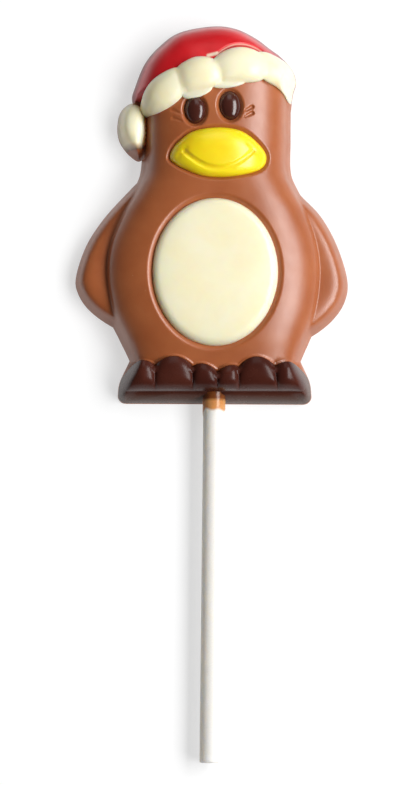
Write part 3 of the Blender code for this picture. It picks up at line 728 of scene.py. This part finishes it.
def body_height(points):
    """Height of the milk chocolate's front, lower where a coloured piece covers it."""
    height = torso_height(points)
    for outline, centre in zip((LEFT_FLIPPER, RIGHT_FLIPPER), FLIPPER_CENTRES):
        flipper = dome(smooth_path(outline), centre, FLIPPER_FORM, points)
        height = soft_max(height, flipper, CREASE_BLEND)
    cap = np.minimum(depth_inside(smooth_path(POMPOM), points), points[:, 1] - POMPOM_DIP)
    pompom = pompom_height(points) - POMPOM_LAYER * smooth(*POMPOM_LAYER_EDGE, cap)
    height = soft_max(height, pompom, CREASE_BLEND)
    base = plate_height(rounded(BASE_CORNERS), BASE_TOP, points)
    height = soft_max(height, base, CREASE_BLEND)
    hat_plate = plate_height(hat_outline(), PLATE_TOP, points)
    height = np.maximum(height, hat_plate)
    height = moated(height, node_oval("belly"), BELLY, points)
    height = moated(height, beak_outline(), BEAK, points)
    for name in ("eye_left", "eye_right"):
        socket = grown(eye_oval(name), SOCKET_GAP) + SOCKET_SHIFT
        height = moated(height, socket, EYE, points)
    for start, end, depth in LASHES:
        height = pressed(height, (start, end), LASH_RADII, depth, points)
    feet = depth_inside(under_feet(), points)
    ridge, distance, width = TOE_RIDGE
    height = height + ridge * np.exp(-(((feet + distance) / width) ** 2))
    base_plate = plate_height(rounded(BASE_CORNERS), FEET_PLATE_TOP, points)
    for depth, plate in ((depth_under_hat(points), hat_plate), (feet, base_plate)):
        covered = smooth(*COVER_EDGE, depth)
        height = height + (np.minimum(height, plate) - height) * covered
    return np.maximum(height, LOWEST)


def make_body():
    """The figure and its plate in milk chocolate."""
    outlines = [torso_outline(), rounded(BASE_CORNERS)]
    outlines += [smooth_path(edge) for edge in (LEFT_FLIPPER, RIGHT_FLIPPER, HAT_EDGE, POMPOM)]
    outline = union_outline(outlines)
    y = np.linspace(*FLIPPER_CREASE, 30)
    left, right, _ = torso_station(y)
    features = [np.column_stack((left + CREASE_INSET, y))]
    features.append(np.column_stack((right - CREASE_INSET, y)))
    moats = [(node_oval("belly"), BELLY), (beak_outline(), BEAK)]
    moats += [(eye_oval(name), EYE) for name in ("eye_left", "eye_right")]
    features += [closed(grown(edge, form["fine"])) for edge, form in moats]
    features += [lash[:2] for lash in LASHES]
    features += [toe_lines()[1]] + [closed(outline) for outline, _, _ in brim_lobes()]
    body = patch("body_milk", outline, body_height, 0.0, milk_chocolate(), features)
    return finish_piece(body, "milk_chocolate", "body")


# Ovals set in the front


def over_torso(form, share, points):
    """Height of a piece that swells from its sunk edge at share 0 to its rise at share 1."""
    return torso_height(points) - form["sink"] + (form["rise"] + form["sink"]) * share


def belly_height(points):
    """Height of the belly with its rounded rim."""
    share = np.clip(depth_inside(node_oval("belly"), points) / BELLY["rim"], 0.0, 1.0)
    return over_torso(BELLY, np.sqrt(1.0 - (1.0 - share) ** 2), points)


def make_belly():
    """White belly."""
    belly = patch(
        "belly_white", node_oval("belly"), belly_height, BELLY["floor"], white_chocolate(),
        spacing=0.5,
    )
    return finish_piece(belly, "white_chocolate", "belly")


def make_eye(name):
    """Dark eye, a low dome in its socket."""
    outline = eye_oval(name)

    def height(points):
        share = radial_share(outline, outline.mean(axis=0), points)
        return over_torso(EYE, superellipse(share, EYE["fullness"]), points)

    chocolate = dark_chocolate("dark_chocolate_glossy", (0.20, 0.26), 0.8)
    eye = patch(f"{name}_dark", outline, height, EYE["floor"], chocolate, spacing=0.25)
    return finish_piece(eye, "dark_chocolate", name)


def smile_lines():
    """The smile's curve and the ticks across its ends."""
    left, low, right = (np.array(point) for point in SMILE)
    middle = (left + right) / 2
    return [bow(left, right, -np.linalg.norm(middle - low), 16), *SMILE_TICKS]


def beak_height(points):
    """Height of the beak with its pressed smile."""
    share = radial_share(beak_outline(), np.array(BEAK_CENTRE), points)
    height = over_torso(BEAK, superellipse(share, BEAK["fullness"]), points)
    for line, depth in zip(smile_lines(), (SMILE_DEPTH, TICK_DEPTH, TICK_DEPTH)):
        height = pressed(height, line, (SMILE_RADIUS, SMILE_RADIUS), depth, points)
    return height


def make_beak():
    """Yellow beak."""
    beak = patch(
        "beak_yellow", beak_outline(), beak_height, BEAK["floor"], yellow_coating(),
        smile_lines(), spacing=0.3,
    )
    return finish_piece(beak, "yellow_coating", "beak")


# Hat, brim and pompom


def hat_groove():
    """The groove in the red above the third lobe."""
    return bow(*GROOVE, GROOVE_BOW, 16)


def make_hat():
    """Red dome of the hat, down to the middle of the brim."""
    silhouette = hat_outline(COLOUR_WALL_OFFSET)
    right = silhouette[:, 0] > 0
    kept = silhouette[silhouette[:, 1] > np.where(right, HAT_RIGHT_END, HAT_LEFT_END)]
    kept = np.roll(kept, -np.argmin(kept[:, 0] + kept[:, 1]), axis=0)
    outline = np.vstack((kept, brow_line()[::-1]))

    def height(points):
        radius, depth = GROOVE_FORM
        front = hat_height(points) + COLOUR_LIFT
        return pressed(front, hat_groove(), (radius, radius), depth, points)

    features = [hat_groove(), FILM]
    hat = patch("hat_red", outline, height, COLOUR_FLOOR, red_coating(), features)
    places = flat_places(hat)[:, :2]
    smudge, _ = line_distance(np.array(FILM), places)
    groove, _ = line_distance(hat_groove(), places)
    # Painted highlight: a pale line along the groove, kept in one mask with the real white smudge
    thin = GROOVE_HIGHLIGHT * (1.0 - smooth(*GROOVE_HIGHLIGHT_EDGE, groove))
    set_mask(hat, "film_and_highlight", np.maximum(1.0 - smooth(*FILM_EDGE, smudge), thin))
    return finish_piece(hat, "red_coating", "hat")


def brow_height(points):
    """Height of the brow and hat that the brim lies on."""
    return soft_max(torso_height(points), hat_height(points), BROW_BLEND)


def brim_height(points):
    """Height of the brim: pillows that run into each other and level out the brow's slope."""
    carrier = brow_height(points)
    beside_hat = radial_share(hat_outline(COLOUR_WALL_OFFSET), np.array(HAT_CENTRE), points)
    sink = BRIM_SINK - (BRIM_SINK + COLOUR_LIFT) * smooth(*BRIM_SINK_END, beside_hat)
    height = carrier - sink
    for outline, centre, rise in brim_lobes():
        share = radial_share(outline, np.array(centre), points)
        middle = brow_height(np.array((centre,)))
        top = middle + (carrier - middle) * BRIM_FOLLOW + rise
        base = carrier - sink
        pillow = base + np.maximum(top - base, 0.0) * superellipse(share, BRIM_FULLNESS)
        height = soft_max(height, pillow, BRIM_BLEND)
    wall = depth_inside(hat_outline(), points) / DRAFT + COLOUR_LIFT
    walled = soft_min(height, wall, WALL_BLEND)
    return np.where(points[:, 0] > BRIM_WALL_START, walled, height)


def make_brim():
    """White fur brim: four lobes draped over the brow, with the drips under them."""
    outline = union_outline([edge for edge, _, _ in brim_lobes()])
    silhouette = hat_outline(COLOUR_WALL_OFFSET)
    centre = np.array(HAT_CENTRE)
    share = radial_share(silhouette, centre, outline)[:, None]
    outline = np.where(share > BRIM_SNAP, centre + (outline - centre) / share, outline)
    chocolate = white_chocolate()
    brim = patch("hat_brim_white", outline, brim_height, COLOUR_FLOOR, chocolate, spacing=0.25)
    return finish_piece(brim, "white_chocolate", "hat_brim")


def make_pompom():
    """White cap of the pompom, thinning out where its layer ends."""
    edge = grown(smooth_path(POMPOM), -COLOUR_WALL_OFFSET)
    outline = np.column_stack((edge[:, 0], np.maximum(edge[:, 1], POMPOM_DIP)))
    # The lower end is flattened to one line, so points that came close together there go
    outline = outline[np.append(True, np.hypot(*np.diff(outline, axis=0).T) > 0.02)]

    def height(points):
        thin = COLOUR_LIFT * smooth(POMPOM_DIP, POMPOM_DIP + 1.0, points[:, 1])
        return pompom_height(points) + thin

    chocolate = pompom_chocolate()
    pompom = patch("pompom_white", outline, height, COLOUR_FLOOR, chocolate, spacing=0.35)
    return finish_piece(pompom, "white_chocolate", "pompom")


# Feet


def toe_height(points):
    """Height of the toes: a row of humps, each with a rounded nose at the front."""
    fronts, backs = toe_lines()
    back = np.interp(points[:, 0], backs[:, 0], backs[:, 1])
    share = np.clip((points[:, 1] - TOE_FRONT) / (back - TOE_FRONT), 0.0, 1.0)
    steps = np.arange(len(fronts))
    at_front, at_back = (np.interp(points[:, 0], xs, steps) for xs in (fronts, backs[:, 0]))
    place = at_front + (at_back - at_front) * share
    across = 2 * (place / TOE_STEPS % 1.0) - 1
    crown = TOE_CROWN - TOE_CREASE_DROP * (1 - superellipse(across, TOE_FULLNESS))
    crown = crown - TOE_END_DROP * smooth(*TOE_ENDS, np.abs(points[:, 0]))
    swell = superellipse(1 - np.clip(share / TOE_NOSE, 0.0, 1.0), TOE_FULLNESS)
    fall = np.clip((share - TOE_NOSE) / (1 - TOE_NOSE), 0.0, None) ** 2
    return TOE_EDGE_HEIGHT + (crown - TOE_EDGE_HEIGHT) * swell - TOE_BACK_DROP * fall


def make_feet():
    """Dark feet: six toes in one row, and the dark wall of the base under them."""
    base = grown(rounded(BASE_CORNERS), -COLOUR_WALL_OFFSET)
    _, backs = toe_lines()
    front = base[base[:, 1] < backs[:, 1][[0, -1]].min() - 0.05]
    front = np.roll(front, -np.argmin(front[:, 0] - front[:, 1]), axis=0)
    outline = np.vstack((front, backs[::-1]))

    def height(points):
        wall = depth_inside(rounded(BASE_CORNERS), points) / DRAFT + COLOUR_LIFT
        near_end = smooth(*TOE_ENDS, np.abs(points[:, 0]))
        blend = TOE_BLEND[0] + (TOE_BLEND[1] - TOE_BLEND[0]) * near_end
        return soft_min(wall, toe_height(points), blend)

    features = [((a[0], TOE_FRONT), (a[1], a[2])) for a in TOE_CREASES[1:-1]]
    features.append([(x, TOE_FRONT) for x in TOE_FRONT_ENDS])
    chocolate = dark_chocolate("dark_chocolate_satin", (0.22, 0.30), 0.0)
    feet = patch(
        "feet_dark", outline, height, COLOUR_FLOOR, chocolate, features, spacing=0.35
    )
    return finish_piece(feet, "dark_chocolate", "feet")


# Stick


def coat_edge(angle):
    """How far up the stick the smear starts at an angle round it."""
    waves = [height * math.sin(count * angle + phase) for height, count, phase in COAT_WAVES]
    return COAT_START + sum(waves) + COAT_TONGUE * max(0.0, math.cos((angle - 1.5) * 1.5))


def make_stick():
    """Rolled paper stick with a smear of chocolate where it goes in."""
    foot = Vector(STICK_FOOT)
    along = (Vector(STICK_EXIT) - foot).normalized()
    across = along.cross(Vector((0.0, 0.0, 1.0))).normalized()
    upward = across.cross(along)
    distances = np.concatenate((
        (0.0, END_CHAMFER * 0.3, END_CHAMFER, 1.0),
        np.linspace(3.0, COAT_START - 1.0, 40),
        np.linspace(COAT_START, COAT_END + 1.0, 40),
        (90.0, STICK_LENGTH),
    ))
    vertices, coats = [], []
    for distance in distances:
        for angle in np.arange(STICK_SIDES) * 2 * math.pi / STICK_SIDES:
            coat = float(smooth(*COAT_FADE, distance - coat_edge(angle)))
            if distance >= COAT_END:
                coat = 0.0
            inset = END_CHAMFER * (1 - min(1.0, distance / END_CHAMFER)) ** 2
            radius = STICK_RADIUS - inset + COAT_THICKNESS * coat
            arm = across * math.cos(angle) + upward * math.sin(angle)
            vertices.append(foot + along * float(distance) + arm * radius)
            coats.append(coat)
    sections = np.array([tuple(v) for v in vertices]).reshape(len(distances), STICK_SIDES, 3)
    stick = band("stick_paper", sections, paper())
    set_mask(stick, "coat", coats)
    return finish_piece(stick, "white_paper", "stick")


# Materials


def add_node(tree, kind, inputs=None, **settings):
    """A shader node with its settings, and its inputs set or linked."""
    made = tree.nodes.new(kind)
    for name, value in settings.items():
        setattr(made, name, value)
    for name, value in (inputs or {}).items():
        if isinstance(value, bpy.types.NodeSocket):
            tree.links.new(value, made.inputs[name])
        else:
            made.inputs[name].default_value = value
    return made


def noise(tree, place, size, detail=3.0, roughness=0.5):
    """Noise with features of about that size in millimetres."""
    made = add_node(
        tree, "ShaderNodeTexNoise",
        {"Vector": place, "Scale": 1.0 / (size * MM), "Detail": detail, "Roughness": roughness},
    )
    return made.outputs["Fac"]


def remap(tree, value, start, end, low=0.0, high=1.0):
    """The value mapped from one range to another, held inside it."""
    made = add_node(
        tree, "ShaderNodeMapRange",
        {"Value": value, "From Min": start, "From Max": end, "To Min": low, "To Max": high},
    )
    return made.outputs["Result"]


def mix(tree, share, first, second):
    """A mix of two colours."""
    made = add_node(tree, "ShaderNodeMix", data_type="RGBA")
    for i, value in ((0, share), (6, first), (7, second)):
        socket = made.inputs[i]
        if isinstance(value, bpy.types.NodeSocket):
            tree.links.new(value, socket)
        elif isinstance(value, tuple):
            socket.default_value = (*value, 1.0)
        else:
            socket.default_value = value
    return made.outputs[2]


def specks(tree, place, size, amount):
    """A mask of sparse tiny dots, one in some of the cells of that size in millimetres."""
    cells = add_node(tree, "ShaderNodeTexVoronoi", {"Vector": place, "Scale": 1.0 / (size * MM)})
    chosen = add_node(tree, "ShaderNodeSeparateColor", {"Color": cells.outputs["Color"]})
    near = remap(tree, cells.outputs["Distance"], 0.05, 0.11, 1.0, 0.0)
    picked = remap(tree, chosen.outputs[0], 1.0 - amount, 1.02 - amount)
    both = add_node(tree, "ShaderNodeMath", {0: near, 1: picked}, operation="MULTIPLY")
    return both.outputs[0]


def bump(tree, height, strength, distance, normal=None):
    """A bump from a height, its depth in millimetres."""
    inputs = {"Height": height, "Strength": strength, "Distance": distance * MM}
    if normal is not None:
        inputs["Normal"] = normal
    return add_node(tree, "ShaderNodeBump", inputs).outputs["Normal"]


def low_share(tree, place, start, end, amount):
    """That amount below one height in millimetres, which fades out up to the next."""
    z = add_node(tree, "ShaderNodeSeparateXYZ", {"Vector": place}).outputs["Z"]
    return remap(tree, z, start * MM, end * MM, amount, 0.0)


def moulded(name, form):
    """A moulded chocolate: mottled colour, sparse specks, soft ripples and fine grain."""
    if name in bpy.data.materials:
        return bpy.data.materials[name]
    material = bpy.data.materials.new(name)
    material.use_nodes = True
    tree = material.node_tree
    shader = tree.nodes["Principled BSDF"]
    place = add_node(tree, "ShaderNodeTexCoord").outputs["Object"]
    cloud = noise(tree, place, 7.0, 4.0)
    colour = mix(tree, remap(tree, cloud, 0.35, 0.65), form["dark"], form["light"])
    dots = specks(tree, place, 1.3, form["specks"])
    colour = mix(tree, dots, colour, form["dot"])
    if "tint" in form:
        colour = form["tint"](tree, place, colour)
    tree.links.new(colour, shader.inputs["Base Color"])
    grain = noise(tree, place, 0.35, 5.0, 0.6)
    rough = remap(tree, noise(tree, place, 2.2, 4.0), 0.3, 0.7, *form["roughness"])
    tree.links.new(rough, shader.inputs["Roughness"])
    ripple = bump(tree, noise(tree, place, 5.0, 2.0), 0.35, form["ripple"])
    fine = bump(tree, grain, 0.35, form["grain"], ripple)
    pitted = bump(tree, remap(tree, dots, 0.0, 1.0, 1.0, 0.0), 0.5, 0.05, fine)
    tree.links.new(pitted, shader.inputs["Normal"])
    shader.inputs["Subsurface Weight"].default_value = form["scatter"]
    shader.inputs["Subsurface Radius"].default_value = form["scatter_radius"]
    shader.inputs["Subsurface Scale"].default_value = MM
    shader.inputs["Specular IOR Level"].default_value = form["specular"]
    shader.inputs["Coat Weight"].default_value = form["coat"]
    shader.inputs["Coat Roughness"].default_value = form["coat_roughness"]
    return material


def milk_chocolate():
    """Satin milk chocolate."""
    return moulded("milk_chocolate_moulded", {
        "dark": (0.355, 0.096, 0.028), "light": (0.40, 0.116, 0.036),
        "dot": (0.50, 0.24, 0.13), "specks": 0.03,
        "roughness": (0.31, 0.38), "ripple": 0.10, "grain": 0.012,
        "scatter": 0.12, "scatter_radius": (1.2, 0.5, 0.25),
        "specular": 0.68, "coat": 0.0, "coat_roughness": 0.25,
    })


WHITE_FORM = {
    "dark": (0.94, 0.835, 0.57), "light": (0.97, 0.875, 0.64),
    "dot": (0.72, 0.58, 0.36), "specks": 0.02,
    "roughness": (0.34, 0.44), "ripple": 0.08, "grain": 0.010,
    "scatter": 0.75, "scatter_radius": (3.2, 2.6, 1.5),
    "specular": 0.5, "coat": 0.12, "coat_roughness": 0.2,
}


def white_chocolate():
    """Satin white chocolate, a pale cream."""
    return moulded("white_chocolate_moulded", WHITE_FORM)


def pompom_chocolate():
    """White chocolate, thin on the mould's wall and gone at the pompom's lower end."""

    def tint(tree, place, colour):
        y = add_node(tree, "ShaderNodeSeparateXYZ", {"Vector": place}).outputs["Y"]
        thin = remap(tree, y, POMPOM_DIP * MM, (POMPOM_DIP + 1.4) * MM, 1.0, 0.0)
        low = low_share(tree, place, 0.5, 5.2, 0.5)
        walled = mix(tree, low, colour, (0.56, 0.40, 0.19))
        return mix(tree, thin, walled, (0.24, 0.105, 0.05))

    return moulded("white_chocolate_thinning", WHITE_FORM | {"tint": tint})


def red_coating():
    """Semi-gloss red coloured chocolate, darker and greyer low on the mould's wall: partly thin red
    over milk chocolate, partly painted shade and reflection.
    """

    def tint(tree, place, colour):
        # Painted shade and reflection, with some thin red over milk chocolate: the red darkens to a
        # grey maroon low on the wall
        low = low_share(tree, place, 0.8, 4.5, 0.8)
        # The mask holds the real white smudge and the painted highlight along the groove, both
        # mixed in as pale cream
        film_and_highlight = add_node(tree, "ShaderNodeAttribute", attribute_name="film_and_highlight").outputs["Fac"]
        covered = mix(tree, film_and_highlight, colour, (0.80, 0.62, 0.47))
        return mix(tree, low, covered, (0.16, 0.075, 0.085))

    return moulded("red_coating_moulded", {
        "dark": (0.60, 0.008, 0.013), "light": (0.70, 0.014, 0.020),
        "dot": (0.75, 0.18, 0.16), "specks": 0.03,
        "roughness": (0.28, 0.38), "ripple": 0.10, "grain": 0.010,
        "scatter": 0.10, "scatter_radius": (1.2, 0.2, 0.2),
        "specular": 0.32, "coat": 0.06, "coat_roughness": 0.18, "tint": tint,
    })


def yellow_coating():
    """Semi-gloss yellow coloured chocolate."""
    return moulded("yellow_coating_moulded", {
        "dark": (0.97, 0.67, 0.006), "light": (0.99, 0.78, 0.010),
        "dot": (0.80, 0.48, 0.02), "specks": 0.02,
        "roughness": (0.30, 0.40), "ripple": 0.07, "grain": 0.010,
        "scatter": 0.5, "scatter_radius": (1.8, 1.2, 0.2),
        "specular": 0.5, "coat": 0.25, "coat_roughness": 0.2,
    })


def dark_chocolate(name, roughness, gloss):
    """Dark chocolate with its range of roughness and a coat weight, lighter and greyer brown low on
    a wall: partly milk chocolate on the wall's lower part, partly painted reflection of the floor.
    """

    def tint(tree, place, colour):
        # Painted reflection of the pale floor, with some milk chocolate on the lower wall: a
        # lighter grey brown low on the wall
        low = low_share(tree, place, 2.0, 6.0, 0.7)
        return mix(tree, low, colour, (0.085, 0.045, 0.030))

    return moulded(name, {
        "dark": (0.048, 0.0105, 0.0065), "light": (0.070, 0.0165, 0.010),
        "dot": (0.22, 0.12, 0.09), "specks": 0.05,
        "roughness": roughness, "ripple": 0.08, "grain": 0.008,
        "scatter": 0.0, "scatter_radius": (0.6, 0.2, 0.1),
        "specular": 0.2, "coat": gloss, "coat_roughness": 0.17, "tint": tint,
    })


def paper():
    """Matt white rolled paper, with glossy chocolate where the coat mask says."""
    material = bpy.data.materials.new("stick_paper_coated")
    material.use_nodes = True
    tree = material.node_tree
    shader = tree.nodes["Principled BSDF"]
    place = add_node(tree, "ShaderNodeTexCoord").outputs["Object"]
    coat = add_node(tree, "ShaderNodeAttribute", attribute_name="coat").outputs["Fac"]
    y = add_node(tree, "ShaderNodeSeparateXYZ", {"Vector": place}).outputs["Y"]
    fibre = noise(tree, place, 0.25, 6.0, 0.7)
    white = mix(tree, remap(tree, fibre, 0.35, 0.65), (0.78, 0.76, 0.72), (0.85, 0.83, 0.80))
    # The smear turns dark brown near the base's wall, where the stick goes in
    near_base_wall = remap(tree, y, -39.7 * MM, -39.0 * MM)
    smear = mix(tree, remap(tree, fibre, 0.3, 0.7), (0.54, 0.23, 0.07), (0.66, 0.33, 0.12))
    smear = mix(tree, near_base_wall, smear, (0.18, 0.050, 0.010))
    tree.links.new(mix(tree, coat, white, smear), shader.inputs["Base Color"])
    tree.links.new(remap(tree, coat, 0.0, 1.0, 0.78, 0.25), shader.inputs["Roughness"])
    weave = bump(tree, fibre, 0.3, 0.02)
    tree.links.new(weave, shader.inputs["Normal"])
    shader.inputs["Specular IOR Level"].default_value = 0.4
    shader.inputs["Subsurface Weight"].default_value = 0.9
    shader.inputs["Subsurface Radius"].default_value = (3.0, 2.8, 2.4)
    shader.inputs["Subsurface Scale"].default_value = MM
    return material


def studio_floor():
    """Matt floor whose own glow keeps it pale, also in the shadow."""
    material = bpy.data.materials.new("studio_floor")
    material.use_nodes = True
    tree = material.node_tree
    shader = tree.nodes["Principled BSDF"]
    place = add_node(tree, "ShaderNodeTexCoord").outputs["Object"]
    cloud = noise(tree, place, 40.0)
    pale = mix(tree, remap(tree, cloud, 0.3, 0.7), (0.40, 0.40, 0.40), (0.42, 0.42, 0.42))
    tree.links.new(pale, shader.inputs["Base Color"])
    shader.inputs["Roughness"].default_value = 0.9
    shader.inputs["Specular IOR Level"].default_value = 0.2
    shader.inputs["Emission Color"].default_value = (1.0, 1.0, 1.0, 1.0)
    shader.inputs["Emission Strength"].default_value = 0.6
    return material


# Studio


def make_floor():
    """Plain pale floor that the back rests on."""
    sides = ((-1, -1), (1, -1), (1, 1), (-1, 1))
    corners = [(x * FLOOR_HALF, y * FLOOR_HALF, FLOOR_TOP) for x, y in sides]
    floor = mesh_object("floor", corners, [(0, 1, 2, 3)], studio_floor())


def aimed(obj, place, target):
    """Puts an object at a place in millimetres, looking at a target."""
    place, target = Vector(place) * MM, Vector(target) * MM
    turn = (target - place).to_track_quat("-Z", "Y").to_matrix().to_4x4()
    obj.matrix_world = Matrix.Translation(place) @ turn


def soft_light(name, bearing, distance, size, power):
    """A large soft light that shines on the figure."""
    light = bpy.data.lights.new(name, "AREA")
    light.shape = "RECTANGLE"
    light.size, light.size_y = (side * MM for side in size)
    light.energy = power
    obj = bpy.data.objects.new(name, light)
    bpy.context.scene.collection.objects.link(obj)
    right, foot = (math.radians(angle) for angle in bearing)
    level = math.cos(foot)
    direction = Vector((math.sin(right) * level, -math.sin(foot), math.cos(right) * level))
    aimed(obj, direction * distance + Vector(LIGHT_AIM), LIGHT_AIM)


def make_studio():
    """Soft light mostly from the right, a weak fill from the head's side and a dim room."""
    soft_light("key", *KEY_LIGHT)
    soft_light("head_fill", *HEAD_FILL)
    world = bpy.data.worlds.new("studio")
    world.use_nodes = True
    background = world.node_tree.nodes["Background"]
    background.inputs["Color"].default_value = (0.93, 0.95, 1.0, 1.0)
    background.inputs["Strength"].default_value = 0.06
    bpy.context.scene.world = world
    bpy.context.scene.view_settings.view_transform = "Standard"


def make_camera():
    """Camera over the figure, tilted a little towards its feet."""
    camera = bpy.data.cameras.new("camera")
    camera.lens = CAMERA_LENS
    camera.sensor_width = SENSOR_WIDTH
    obj = bpy.data.objects.new("camera", camera)
    bpy.context.scene.collection.objects.link(obj)
    tilt = math.radians(CAMERA_TILT)
    offset = Vector((0.0, -math.sin(tilt), math.cos(tilt))) * CAMERA_DISTANCE
    obj.location = (Vector(CAMERA_AIM) + offset) * MM
    obj.rotation_euler = (tilt, 0.0, 0.0)
    bpy.context.scene.camera = obj


def main():
    """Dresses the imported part."""
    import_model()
    make_camera()
    make_studio()
    make_floor()
    make_body()
    make_belly()
    make_eye("eye_left")
    make_eye("eye_right")
    make_beak()
    make_hat()
    make_brim()
    make_pompom()
    make_feet()
    make_stick()


main()
